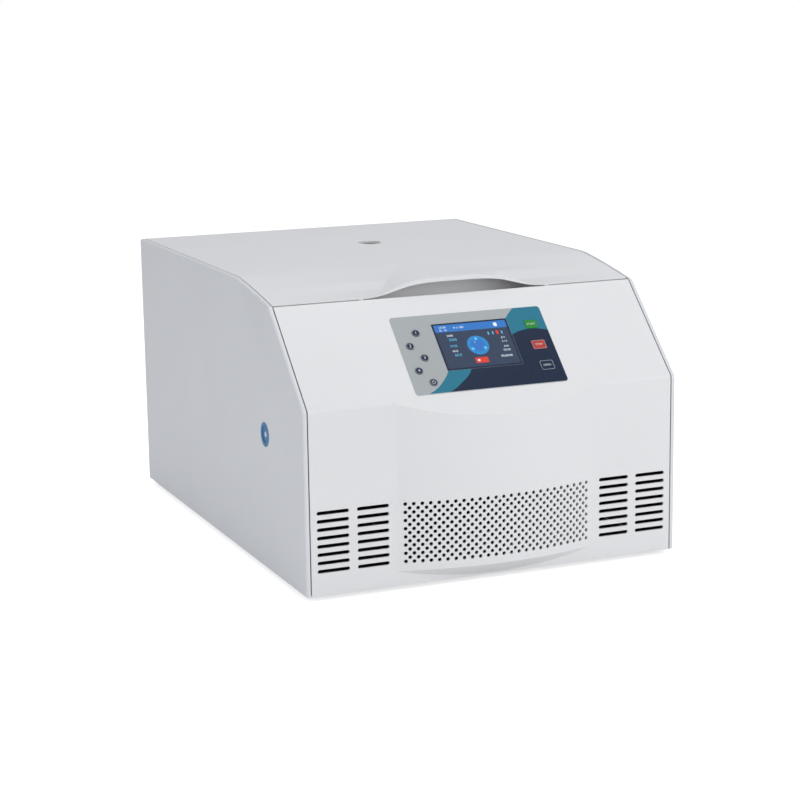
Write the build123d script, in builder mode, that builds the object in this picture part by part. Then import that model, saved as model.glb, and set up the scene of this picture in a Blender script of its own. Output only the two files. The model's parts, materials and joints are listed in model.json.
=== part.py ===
"""Benchtop oil centrifuge with a swing-out rotor for four tube buckets.

Millimetres. X runs to the right, Y from the front to the back, Z up. The origin is on
the table, under the middle of the box around the whole machine.
"""

import math
import os

from build123d import *

os.makedirs("parts", exist_ok=True)

# Cabinet
width = 490.0  # over the side covers
depth = 650.0  # from the lower front to the back
body_height = 347.5  # from the skirt to the top of the lid
foot_height = 6.0
boss_inset = 60.0  # bosses of the side covers, from the front and the back
boss_low = 40.0
boss_drop = 85.5
foot_radius = 18.0
foot_inset_x = 55.0
foot_inset_y = 60.0
sheet = 2.0  # folded steel of the chassis
side_sheet = 1.5
side_flange = 5.5  # how far the rim of a side cover turns in
side_bend = 3.0
panel_gap = 1.5  # between a side cover and what lies beside it
fit = 0.3  # round what is pushed in or slides
running = 0.05  # radial play of a shaft or a pin

# Side outline: heights over the skirt and distances behind the lower front. Distances
# from front to back are shares of the depth, so the machine keeps its layout
knee_high = body_height - 20.0
knee_low = knee_high - 106.5
run = depth / 650
slope_run = 110.0 * run
knee_bend = 8.0
shoulder_run = 235.0 * run
shoulder_crown = 1.15
shoulder_blend = 200.0

# Front cover and its bulge
front_wall = 2.5
bulge_half_chord = width / 2 - 114.5
bulge_rise = 21.2
bulge_rim = 18.5
bulge_tuck = 38.0  # degrees by which the underside falls away
shelf_run = 38.0 * run
shelf_lip = 12.0
hole_size = 4.1
hole_pitch = 10.15
hole_columns = 2 * int((bulge_half_chord - 5.0) / hole_pitch) + 1
vent_pitch = 10.0
vent_low = 30.0
vent_rows = 8
slot_length = 40.5
slot_width = 4.5
slot_columns = (width / 2 - 85.5, width / 2 - 35.0)
grille_margin = 6.0
grille_fit = 0.1

# Control panel: distances up the slope from the lower knee
film = 0.6
film_size = (200.0, 114.3)
film_up = 64.85
film_corner = 4.0
screen_size = (99.8, 69.1)
screen_up = 72.95
key_proud = 0.7
key_length = 6.0
key_play = 0.15
round_key = 10.0
round_keys = {
    "key_1": (-73.0, 96.6),
    "key_2": (-86.0, 78.3),
    "key_3": (-73.0, 59.9),
    "key_4": (-86.0, 42.0),
    "key_power": (-73.0, 23.9),
}
square_keys = {
    "key_start": (80.0, 95.3, 15.6, 12.0),
    "key_stop": (80.0, 64.1, 18.0, 13.0),
    "key_open": (80.0, 33.1, 18.0, 14.0),
}
board_margin = 2.0  # beyond the film, each way
board_gap = 12.0
board_sheet = 1.6

# Deck, chamber and drive
deck_drop = 45.0  # from the top of the lid to the deck
bowl_back = 430.0 * run  # bowl axis behind the lower front
bowl_radius = 190.0 * run
bowl_wall = 1.5
bowl_depth = 173.5
bowl_corner = 24.0
bowl_flange = 12.0
bowl_bend = 0.5  # outside, under the flange
neck_radius = 34.0
neck_height = 12.0
guard_gap = 7.5
guard_wall = 6.0
heater_wall = 2.5
heater_low = 30.0
heater_height = 70.0
floor_gap = 10.0  # under the bowl, over the middle plate
middle_sheet = 3.0
middle_front = 215.0 * run
motor_radius = 58.0
motor_flange = 78.0
motor_flange_height = 8.0
motor_hole = 50.0
motor_floor_gap = 14.0
damper_radius = 10.0
damper_height = 16.0
damper_reach = 64.0
boss_radius = 25.0
shaft_radius = 8.0

# Rotor: heights from the trunnion axis
trunnion_depth = 38.5  # below the deck
pivot_radius = 64.0
hub_radius = 28.0
hub_above = 14.0
hub_below = 16.0
arm_width = 24.0
arm_height = 22.0
block_inner = 34.0
block_size = 40.0
stud_radius = 5.0
bucket_bore = 23.0
bucket_wall = 2.5
collar_wall = 5.0
collar_above = 12.0
collar_below = 9.0
bucket_reach = bowl_radius - pivot_radius - 14.0
bucket_floor = 4.0
pad_radius = 8.5
pad_reach = 31.0
cushion_height = 8.0

# Lid
lid_wall = 3.0
seam = 1.5
lid_lift = 2.0  # over the shelf lip
rear_gap = 2.0
rear_skirt = 30.0
rear_notch = 47.0
recess_depth = 40.0 * run  # hand recess behind the seam
arch_half = 122.0
arch_rise = 14.5
swell_half = 127.0
swell_back = 252.0 * run
swell_back_half = 84.0
sight_x = 25.0
sight_back = 454.0 * run
sight_radius = 16.0
sight_tube_wall = 2.0
window_sheet = 3.0
liner_sheet = 1.5
liner_over_deck = 13.5
liner_radius = bowl_radius + 18.0
liner_half = width / 2 - 21.0
post_inset = 160.0  # from the bowl's axis to the front posts
post_reach = 110.0  # and to the back ones
post_radius = 6.0
seal_inner = bowl_radius + 4.0
seal_outer = bowl_radius + 11.0
hinge_inset = 12.0
hinge_drop = 25.0
hinge_x = width / 2 - 95.0
hinge_width = 14.0
knuckle_radius = 6.5
pin_radius = 3.0
ear_sheet = 3.0
hook_back = 178.0 * run
hook_width = 22.0
hook_sheet = 4.0
hook_below_deck = 24.0
pawl_width = 8.0
pawl_height = 7.0
pawl_channel = 14.0  # run of the pawl's channel in front of the pawl

# Rear panel, its fan and its power inlet
rear_inset = 4.0
rear_under_hinge = 13.0
fan_size = 60.0
fan_bore = 57.0
fan_depth = 25.0
fan_x = -120.0
fan_up = 62.0
fan_hub = 16.0
fan_pin = 1.5
fan_blades = 7
inlet_x = 150.0
inlet_up = 60.0
inlet_size = (32.0, 58.0)
inlet_flange = 3.0
inlet_depth = 26.0
socket_size = (24.5, 17.0)
socket_depth = 16.0
rocker_size = (20.0, 13.0)
rocker_up = 16.0
socket_down = 11.0

# Release plug in the left side cover
plug_back = 132.7 * run
plug_up = 169.0
plug_radius = 15.0
plug_length = 5.2
plug_dish = 1.0
collar_radius = 18.5

# Levels and lines that follow from the sizes
front_y = (bulge_rise - depth) / 2
back_y = front_y + depth
skirt_z = foot_height
top_z = skirt_z + body_height
low_z = skirt_z + knee_low
high_z = skirt_z + knee_high
deck_z = top_z - deck_drop
panel_half = width / 2 - side_flange - panel_gap
bowl_y = front_y + bowl_back
bulge_radius = (bulge_half_chord**2 + bulge_rise**2) / (2 * bulge_rise)
bulge_axis_y = front_y - bulge_rise + bulge_radius
shelf_z = deck_z + front_wall
shelf_slope = (high_z - shelf_z) / shelf_run
slope_angle = math.atan2(knee_high - knee_low, slope_run)
slope = Plane(
    origin=(0, front_y, low_z),
    x_dir=(1, 0, 0),
    z_dir=(0, -math.sin(slope_angle), math.cos(slope_angle)),
)
hinge_y = back_y - hinge_inset
hinge_z = top_z - hinge_drop
bowl_floor_z = deck_z - bowl_depth
middle_z = bowl_floor_z - bowl_wall - floor_gap
pivot_z = deck_z - trunnion_depth
liner_z = deck_z + liner_over_deck
lid_bottom_z = shelf_z + lid_lift
rear_face_y = back_y - rear_inset
vent_middle = skirt_z + vent_low + (vent_rows - 1) * vent_pitch / 2


def save(piece, name):
    """Label a finished piece and write it to its own file."""
    piece.label = name
    export_step(piece, f"parts/{name}.step")


def side_outline(inset=0.0):
    """The cabinet from the side, with y and z as the sketch's two directions."""
    shoulder = (front_y + shoulder_run, top_z)
    knee = (front_y + slope_run, high_z)
    lean = math.atan2(shoulder[1] - knee[1], shoulder[0] - knee[0])
    crown = (
        (knee[0] + shoulder[0]) / 2 - shoulder_crown * math.sin(lean),
        (knee[1] + shoulder[1]) / 2 + shoulder_crown * math.cos(lean),
    )
    with BuildSketch() as outline:
        with BuildLine():
            Polyline((back_y, top_z), (back_y, skirt_z), (front_y, skirt_z), (front_y, low_z), knee)
            ThreePointArc(knee, crown, shoulder)
            Line(shoulder, (back_y, top_z))
        make_face()
        corners = {(front_y, low_z): knee_bend, shoulder: shoulder_blend, (back_y, top_z): side_bend}
        for (y, z), radius in corners.items():
            fillet(outline.vertices().sort_by_distance((y, z))[0], radius)
        if inset:
            offset(amount=-inset)
    return outline.sketch


def upright_plane(x):
    """The plane across the machine at x, with y and z as its two directions."""
    return Plane(origin=(x, 0, 0), x_dir=(0, 1, 0), z_dir=(1, 0, 0))


def facing_plane(y):
    """The plane at y that looks to the front, with x and z as its two directions."""
    return Plane(origin=(0, y, 0), x_dir=(1, 0, 0), z_dir=(0, -1, 0))


# Base tray, between the two chassis walls
chassis_half = panel_half - sheet
with BuildPart() as base_tray:
    with BuildSketch(Plane.XY.offset(skirt_z)):
        with Locations((0, (front_y + front_wall + rear_face_y - sheet) / 2)):
            Rectangle(2 * chassis_half, rear_face_y - sheet - front_y - front_wall)
    extrude(amount=sheet)
save(base_tray.part, "base_tray")

foot_x = width / 2 - foot_inset_x
foot_y = {"front": front_y + foot_inset_y, "back": back_y - foot_inset_y}
for end, y in foot_y.items():
    for side, x in {"left": -foot_x, "right": foot_x}.items():
        with BuildPart() as foot:
            with BuildSketch():
                with Locations((x, y)):
                    Circle(foot_radius - 2)
            with BuildSketch(Plane.XY.offset(foot_height)):
                with Locations((x, y)):
                    Circle(foot_radius)
            loft()
        save(foot.part, f"foot_{end}_{side}")

# Chassis walls, inside the outline and under the deck
wall_setback = front_wall + 0.5
boss_places = [
    (front_y + boss_inset, skirt_z + boss_low),
    (back_y - boss_inset, skirt_z + boss_low),
    (front_y + slope_run + 15, top_z - boss_drop),
    (back_y - boss_inset, top_z - boss_drop),
]
for side, x in {"left": -panel_half, "right": chassis_half}.items():
    with BuildPart() as chassis:
        with BuildSketch(upright_plane(x)):
            add(side_outline(wall_setback))
            with Locations((0, (skirt_z + deck_z - sheet) / 2)):
                Rectangle(2 * depth, deck_z - sheet - skirt_z, mode=Mode.INTERSECT)
            with Locations((back_y, (skirt_z + deck_z) / 2)):
                Rectangle(2 * (rear_inset + sheet), depth, mode=Mode.SUBTRACT)
        extrude(amount=sheet)
        if side == "left":
            with BuildSketch(upright_plane(x)):
                with Locations((front_y + plug_back, skirt_z + plug_up)):
                    Circle(plug_radius - 2)
            extrude(amount=sheet, mode=Mode.SUBTRACT)
    save(chassis.part, f"chassis_{side}")

# Side covers: pans with a rounded rim, on bosses against the chassis walls
for side, sign in {"left": -1, "right": 1}.items():
    rim_x = sign * (width / 2 - side_flange)
    with BuildPart() as cover:
        with BuildSketch(upright_plane(rim_x)):
            add(side_outline())
        extrude(amount=sign * side_flange)
        outer = cover.faces().sort_by(Axis.X)[0 if sign < 0 else -1]
        fillet(outer.edges(), side_bend)
        with BuildSketch(upright_plane(rim_x)):
            add(side_outline(side_sheet))
        extrude(amount=sign * (side_flange - side_sheet), mode=Mode.SUBTRACT)
        with BuildSketch(upright_plane(sign * panel_half)):
            with Locations(*boss_places):
                RegularPolygon(6, 6)
        extrude(amount=sign * (width / 2 - side_sheet - panel_half))
        if side == "left":
            with BuildSketch(upright_plane(-panel_half)) as collar:
                with Locations((front_y + plug_back, skirt_z + plug_up)):
                    Circle(collar_radius)
            extrude(amount=panel_half + side_sheet - width / 2)
            with BuildSketch(upright_plane(-panel_half)):
                with Locations((front_y + plug_back, skirt_z + plug_up)):
                    Circle(plug_radius + fit)
            extrude(amount=panel_half - width / 2, mode=Mode.SUBTRACT)
    save(cover.part, f"side_cover_{side}")

with BuildPart() as release_plug:
    with BuildSketch(upright_plane(-width / 2)):
        with Locations((front_y + plug_back, skirt_z + plug_up)):
            Circle(plug_radius)
    extrude(amount=plug_length)
    with BuildSketch(upright_plane(-width / 2)):
        with Locations((front_y + plug_back, skirt_z + plug_up)):
            Circle(plug_radius * 0.7)
    extrude(amount=plug_dish, taper=30, mode=Mode.SUBTRACT)
save(release_plug.part, "release_plug")


def bulge_solid(inset, reach):
    """The bulge as a closed solid, its faces moved in by the inset, run back past the front plane."""
    radius = bulge_radius - inset
    end_y = front_y + reach
    half = math.sqrt(radius**2 - (bulge_axis_y - end_y) ** 2)
    rim_z = skirt_z + bulge_rim + inset
    tuck = math.radians(bulge_tuck)
    with BuildPart(mode=Mode.PRIVATE) as bulge:
        with BuildSketch(Plane.XY.offset(rim_z)) as segment:
            with BuildLine():
                ThreePointArc((-half, end_y), (0, bulge_axis_y - radius), (half, end_y))
                Line((half, end_y), (-half, end_y))
            make_face()
        extrude(amount=low_z - rim_z + 2 * bulge_rise)
        extrude(segment.sketch, amount=2 * bulge_rise, dir=(0, math.cos(tuck), -math.sin(tuck)))
        split(bisect_by=slope.offset(-inset), keep=Keep.BOTTOM)
        split(bisect_by=facing_plane(end_y), keep=Keep.TOP)
        split(bisect_by=Plane.XY.offset(skirt_z + inset), keep=Keep.TOP)
    return bulge.part


# Front cover: one skin from the skirt over both knees down to the deck, with the
# punched bulge, the vent slots and the holes of the control panel
grille_low = skirt_z + vent_low - grille_margin
grille_high = skirt_z + vent_low + (vent_rows - 1) * vent_pitch + grille_margin
grille_arc = (hole_columns - 1) * hole_pitch / 2 + grille_margin
grille_half = bulge_radius * math.sin(grille_arc / bulge_radius)
with BuildPart() as front_cover:
    with BuildSketch(upright_plane(-panel_half)):
        with BuildLine():
            FilletPolyline(
                (front_y, skirt_z),
                (front_y, low_z),
                (front_y + slope_run, high_z),
                (front_y + slope_run + shelf_run, shelf_z),
                (front_y + slope_run + shelf_run + shelf_lip, shelf_z),
                radius=(knee_bend, front_wall + 0.5, front_wall + 0.5),
            )
            offset(amount=front_wall, side=Side.RIGHT)
        make_face()
    extrude(amount=2 * panel_half)
    add(bulge_solid(0, front_wall / 2))
    add(bulge_solid(front_wall, front_wall + 1), mode=Mode.SUBTRACT)
    with BuildSketch(facing_plane(front_y + front_wall)):
        with Locations((0, (grille_low + grille_high) / 2)):
            Rectangle(2 * grille_half, grille_high - grille_low)
    extrude(amount=bulge_rise + front_wall + 1, mode=Mode.SUBTRACT)
    with BuildSketch(facing_plane(front_y + front_wall)):
        places = [
            (sign * x, vent_middle + (row - (vent_rows - 1) / 2) * vent_pitch)
            for sign in (-1, 1)
            for x in slot_columns
            for row in range(vent_rows)
        ]
        with Locations(*places):
            SlotOverall(slot_length, slot_width)
    extrude(amount=front_wall, mode=Mode.SUBTRACT)
    with BuildSketch(slope.offset(-front_wall)):
        with Locations((0, screen_up)):
            Rectangle(screen_size[0] + 2 * key_play, screen_size[1] + 2 * key_play)
        with Locations(*round_keys.values()):
            Circle(round_key / 2 + key_play)
        for x, up, wide, high in square_keys.values():
            with Locations((x, up)):
                Rectangle(wide + 2 * key_play, high + 2 * key_play)
    extrude(amount=front_wall, mode=Mode.SUBTRACT)
save(front_cover.part, "front_cover")

# Intake grille: the punched part of the bulge, with staggered rows of holes
with BuildPart() as intake_grille:
    with BuildSketch(Plane.XY.offset(grille_low + grille_fit)):
        with Locations((0, bulge_axis_y)):
            Circle(bulge_radius)
            Circle(bulge_radius - front_wall, mode=Mode.SUBTRACT)
        with Locations((0, front_y)):
            Rectangle(2 * (grille_half - grille_fit), 3 * bulge_rise, mode=Mode.INTERSECT)
    extrude(amount=grille_high - grille_low - 2 * grille_fit)
    with BuildSketch(facing_plane(front_y + front_wall)):
        punched = []
        for row in range(2 * vent_rows - 1):
            columns = hole_columns - row % 2
            for column in range(columns):
                along = (column - (columns - 1) / 2) * hole_pitch
                x = bulge_radius * math.sin(along / bulge_radius)
                punched.append((x, skirt_z + vent_low + row * vent_pitch / 2))
        with Locations(*punched):
            Rectangle(hole_size, hole_size, rotation=45)
    extrude(amount=2 * bulge_rise, mode=Mode.SUBTRACT)
save(intake_grille.part, "intake_grille")

# Control panel: film, screen and keys on the slope, board behind it
with BuildPart() as panel_film:
    with BuildSketch(slope):
        with Locations((0, film_up)):
            RectangleRounded(*film_size, film_corner)
        with Locations((0, screen_up)):
            Rectangle(
                screen_size[0] + 2 * key_play, screen_size[1] + 2 * key_play, mode=Mode.SUBTRACT
            )
        with Locations(*round_keys.values()):
            Circle(round_key / 2 + key_play, mode=Mode.SUBTRACT)
        for x, up, wide, high in square_keys.values():
            with Locations((x, up)):
                Rectangle(wide + 2 * key_play, high + 2 * key_play, mode=Mode.SUBTRACT)
    extrude(amount=film)
save(panel_film.part, "panel_film")

with BuildPart() as display_glass:
    with BuildSketch(slope.offset(-front_wall)):
        with Locations((0, screen_up)):
            Rectangle(*screen_size)
    extrude(amount=front_wall + film)
save(display_glass.part, "display_glass")

board_face = -front_wall - board_gap
board_wide = film_size[0] + 2 * board_margin
board_high = film_size[1] + 2 * board_margin
with BuildPart() as control_board:
    with BuildSketch(slope.offset(board_face - board_sheet)):
        with Locations((0, film_up)):
            Rectangle(board_wide, board_high)
    extrude(amount=board_sheet)
    with BuildSketch(slope.offset(board_face)):
        with Locations((0, screen_up)):
            Rectangle(*screen_size)
    extrude(amount=board_gap - fit)
    with BuildSketch(slope.offset(board_face)):
        with Locations((0, film_up)):
            with GridLocations(board_wide - 8, board_high - 8, 2, 2):
                RegularPolygon(3.5, 6)
    extrude(amount=board_gap)
save(control_board.part, "control_board")

key_top = film + key_proud
for name, place in round_keys.items():
    with BuildPart() as key:
        with BuildSketch(slope.offset(key_top - key_length)):
            with Locations(place):
                Circle(round_key / 2)
        extrude(amount=key_length)
    save(key.part, name)
for name, (x, up, wide, high) in square_keys.items():
    with BuildPart() as key:
        with BuildSketch(slope.offset(key_top - key_length)):
            with Locations((x, up)):
                Rectangle(wide, high)
        extrude(amount=key_length)
    save(key.part, name)

# Deck, with the bowl's hole, the lock's slot and the lid's hinges behind it
deck_front = front_y + slope_run + shelf_run
deck_back = rear_face_y - sheet
with BuildPart() as deck_plate:
    with BuildSketch(Plane.XY.offset(deck_z - sheet)):
        with Locations((0, (deck_front + deck_back) / 2)):
            Rectangle(2 * panel_half, deck_back - deck_front)
        with Locations((0, bowl_y)):
            Circle(bowl_radius + bowl_wall + bowl_bend + fit, mode=Mode.SUBTRACT)
        with Locations((0, front_y + hook_back)):
            Rectangle(hook_width + 6, hook_sheet + 8, mode=Mode.SUBTRACT)
    extrude(amount=sheet)
save(deck_plate.part, "deck_plate")

with BuildPart() as rear_panel:
    rear_top = hinge_z - rear_under_hinge
    with BuildSketch(facing_plane(rear_face_y)):
        with Locations((0, (skirt_z + rear_top) / 2)):
            Rectangle(2 * panel_half, rear_top - skirt_z)
        with Locations((fan_x, skirt_z + fan_up)):
            Circle(fan_bore / 2, mode=Mode.SUBTRACT)
        with Locations((inlet_x, skirt_z + inlet_up)):
            Rectangle(
                inlet_size[0] - 2 * inlet_flange + fit,
                inlet_size[1] - 2 * inlet_flange + fit,
                mode=Mode.SUBTRACT,
            )
    extrude(amount=sheet)
save(rear_panel.part, "rear_panel")

# Chamber: drawn bowl hung by its flange, heater band, guard ring on the middle plate
bowl_axis = Axis((0, bowl_y, 0), (0, 0, 1))
bowl_section = Plane(origin=(0, bowl_y, 0), x_dir=(1, 0, 0), z_dir=(0, -1, 0))
with BuildPart() as chamber_bowl:
    with BuildSketch(bowl_section):
        with BuildLine():
            FilletPolyline(
                (neck_radius, bowl_floor_z + neck_height),
                (neck_radius, bowl_floor_z),
                (bowl_radius, bowl_floor_z),
                (bowl_radius, deck_z + bowl_wall),
                (bowl_radius + bowl_flange, deck_z + bowl_wall),
                radius=(bowl_wall + bowl_bend, bowl_corner, bowl_wall + bowl_bend),
            )
            offset(amount=bowl_wall, side=Side.RIGHT)
        make_face()
    revolve(axis=bowl_axis)
save(chamber_bowl.part, "chamber_bowl")

with BuildPart() as heater_band:
    with BuildSketch(Plane.XY.offset(bowl_floor_z + heater_low)):
        with Locations((0, bowl_y)):
            Circle(bowl_radius + bowl_wall + fit + heater_wall)
            Circle(bowl_radius + bowl_wall + fit, mode=Mode.SUBTRACT)
    extrude(amount=heater_height)
save(heater_band.part, "heater_band")

guard_inner = bowl_radius + bowl_wall + guard_gap
with BuildPart() as guard_ring:
    with BuildSketch(Plane.XY.offset(middle_z)):
        with Locations((0, bowl_y)):
            Circle(guard_inner + guard_wall)
            Circle(guard_inner, mode=Mode.SUBTRACT)
    extrude(amount=deck_z - sheet - fit - middle_z)
save(guard_ring.part, "guard_ring")

with BuildPart() as middle_plate:
    with BuildSketch(Plane.XY.offset(middle_z - middle_sheet)):
        with Locations((0, (front_y + middle_front + deck_back) / 2)):
            Rectangle(2 * chassis_half, deck_back - front_y - middle_front)
        with Locations((0, bowl_y)):
            Circle(motor_hole, mode=Mode.SUBTRACT)
    extrude(amount=middle_sheet)
save(middle_plate.part, "middle_plate")

# Drive: motor hung from four rubber dampers, shaft through its boss
flange_z = middle_z - middle_sheet - damper_height
boss_top = bowl_floor_z + neck_height + 4
with BuildPart() as motor_body:
    with BuildSketch(bowl_section):
        with BuildLine():
            Polyline(
                (shaft_radius + running, skirt_z + sheet + 2 * motor_floor_gap),
                (0, skirt_z + sheet + 2 * motor_floor_gap),
                (0, skirt_z + motor_floor_gap),
                (motor_radius, skirt_z + motor_floor_gap),
                (motor_radius, flange_z - motor_flange_height),
                (motor_flange, flange_z - motor_flange_height),
                (motor_flange, flange_z),
                (boss_radius, flange_z),
                (boss_radius, boss_top),
                (shaft_radius + running, boss_top),
                close=True,
            )
        make_face()
    revolve(axis=bowl_axis)
save(motor_body.part, "motor_body")

with BuildPart() as motor_dampers:
    with BuildSketch(Plane.XY.offset(flange_z)):
        with Locations((0, bowl_y)):
            with PolarLocations(damper_reach, 4, start_angle=45):
                Circle(damper_radius)
    extrude(amount=damper_height)
save(motor_dampers.part, "motor_dampers")

with BuildPart() as bowl_seal:
    with BuildSketch(Plane.XY.offset(bowl_floor_z)):
        with Locations((0, bowl_y)):
            Circle(neck_radius - bowl_wall - fit)
            Circle(boss_radius + fit, mode=Mode.SUBTRACT)
    extrude(amount=neck_height)
save(bowl_seal.part, "bowl_seal")

with BuildPart() as drive_shaft:
    with BuildSketch(Plane.XY.offset(skirt_z + sheet + 2 * motor_floor_gap + fit)):
        with Locations((0, bowl_y)):
            Circle(shaft_radius)
    extrude(amount=pivot_z + hub_above - skirt_z - sheet - 2 * motor_floor_gap - fit)
save(drive_shaft.part, "drive_shaft")


def bucket_plane(angle):
    """The upright plane through a bucket's pivot: x points away from the rotor's axis."""
    cos = math.cos(math.radians(angle))
    sin = math.sin(math.radians(angle))
    return Plane(
        origin=(pivot_radius * cos, bowl_y + pivot_radius * sin, pivot_z),
        x_dir=(cos, sin, 0),
        z_dir=(sin, -cos, 0),
    )


# Rotor: hub with four arms, each ending in a block with the studs of two buckets
bucket_angles = (0, 90, 180, 270)
collar_radius_out = bucket_bore + collar_wall
stud_end = bucket_bore + 0.7
with BuildPart() as rotor_yoke:
    with BuildSketch(Plane.XY.offset(pivot_z - hub_below)):
        with Locations((0, bowl_y)):
            Circle(hub_radius)
    extrude(amount=hub_above + hub_below)
    chamfer(rotor_yoke.edges().group_by(Axis.Z)[-1], 3)
    with BuildSketch(Plane.XY.offset(pivot_z - arm_height / 2)):
        block_centre = (block_inner + block_size / 2) * math.sqrt(2)
        with Locations((0, bowl_y)):
            with PolarLocations(0, 4, start_angle=45):
                with Locations((block_centre / 2, 0)):
                    Rectangle(block_centre, arm_width)
                with Locations((block_centre, 0)):
                    Rectangle(block_size, block_size, rotation=45)
    extrude(amount=arm_height)
    tips = rotor_yoke.edges().filter_by(Axis.Z).sort_by_distance((0, bowl_y, pivot_z))[-4:]
    chamfer(tips, block_size * 0.3)
    for angle in bucket_angles:
        for reach in (stud_end, -block_inner - 1):
            with BuildSketch(bucket_plane(angle).offset(reach)):
                Circle(stud_radius)
            extrude(amount=block_inner + 1 - stud_end)
    with BuildSketch(Plane.XY.offset(pivot_z - hub_below)):
        with Locations((0, bowl_y)):
            Circle(shaft_radius + running)
    extrude(amount=hub_above + hub_below, mode=Mode.SUBTRACT)
save(rotor_yoke.part, "rotor_yoke")

with BuildPart() as rotor_nut:
    with BuildSketch(Plane.XY.offset(pivot_z + hub_above)):
        with Locations((0, bowl_y)):
            Circle(shaft_radius + 8)
    extrude(amount=4)
    with BuildSketch(Plane.XY.offset(pivot_z + hub_above + 4)):
        with Locations((0, bowl_y)):
            RegularPolygon(shaft_radius + 3, 6)
    extrude(amount=9)
save(rotor_nut.part, "rotor_nut")

for number, angle in enumerate(bucket_angles, start=1):
    hang = bucket_plane(angle)
    upright = Axis(hang.origin, (0, 0, 1))
    outer = bucket_bore + bucket_wall
    with BuildPart() as bucket:
        with BuildSketch(hang):
            with BuildLine():
                Polyline(
                    (0, -bucket_reach),
                    (outer - 5, -bucket_reach),
                    (outer, -bucket_reach + 5),
                    (outer, -collar_below - 2),
                    (collar_radius_out, -collar_below),
                    (collar_radius_out, collar_above),
                    (0, collar_above),
                    close=True,
                )
            make_face()
        revolve(axis=upright)
        with BuildSketch(hang.offset(-pad_reach)):
            Circle(pad_radius)
        extrude(amount=2 * pad_reach)
        with BuildSketch(Plane.XY.offset(pivot_z - bucket_reach + bucket_floor)):
            with Locations((hang.origin.X, hang.origin.Y)):
                Circle(bucket_bore)
        extrude(amount=bucket_reach - bucket_floor + collar_above, mode=Mode.SUBTRACT)
        with BuildSketch(hang.offset(-pad_reach)):
            Circle(stud_radius + running)
        extrude(amount=2 * pad_reach, mode=Mode.SUBTRACT)
    save(bucket.part, f"bucket_{number}")
    with BuildPart() as cushion:
        with BuildSketch(Plane.XY.offset(pivot_z - bucket_reach + bucket_floor)):
            with Locations((hang.origin.X, hang.origin.Y)):
                Circle(bucket_bore - fit)
        extrude(amount=cushion_height)
        with BuildSketch(Plane.XY.offset(pivot_z - bucket_reach + bucket_floor + cushion_height)):
            with Locations((hang.origin.X, hang.origin.Y)):
                Circle(bucket_bore * 0.6)
        extrude(amount=-cushion_height / 2, taper=30, mode=Mode.SUBTRACT)
    save(cushion.part, f"bucket_cushion_{number}")

# Lid: a shell cut from the side outline, with a swell that runs out into the visor
lid_front = slope_run + 2 * seam
shelf_seam = seam * math.sqrt(1 + shelf_slope**2)
lid_tip_z = high_z - (lid_front - slope_run) * shelf_slope + shelf_seam
lid_toe = slope_run + (high_z + shelf_seam - lid_bottom_z) / shelf_slope
lid_back_y = back_y - rear_gap
rear_low_z = top_z - rear_skirt
recess_y = front_y + slope_run + recess_depth


def arch(half, rise, base_z, foot_z):
    """A bell-shaped arch over its base, closed by a straight foot below it."""
    with BuildSketch() as face:
        with BuildLine():
            Spline(
                (-half, base_z),
                (-half * 0.52, base_z + rise * 0.76),
                (0, base_z + rise),
                (half * 0.52, base_z + rise * 0.76),
                (half, base_z),
                tangents=((1, 0), (1, 0)),
            )
            Polyline((half, base_z), (half, foot_z), (-half, foot_z), (-half, base_z))
        make_face()
    return face.sketch


def visor_loft(thickness, foot_z, start_y, end_y):
    """The swell from the seam back to where it sinks into the flat top, thinner by the thickness."""
    part_way = 1 if thickness else 0
    half = arch_half if part_way else swell_half
    rise = arch_rise if part_way else top_z - high_z
    rear_rise = top_z - high_z - thickness - 0.5
    with BuildPart(mode=Mode.PRIVATE) as swell:
        with BuildSketch(facing_plane(front_y + lid_front)):
            add(arch(half, rise, high_z, foot_z))
        with BuildSketch(facing_plane(front_y + swell_back)):
            add(arch(swell_back_half - thickness, rear_rise, high_z, foot_z))
        loft()
        split(bisect_by=facing_plane(start_y), keep=Keep.BOTTOM)
        split(bisect_by=facing_plane(end_y), keep=Keep.TOP)
    return swell.part


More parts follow.
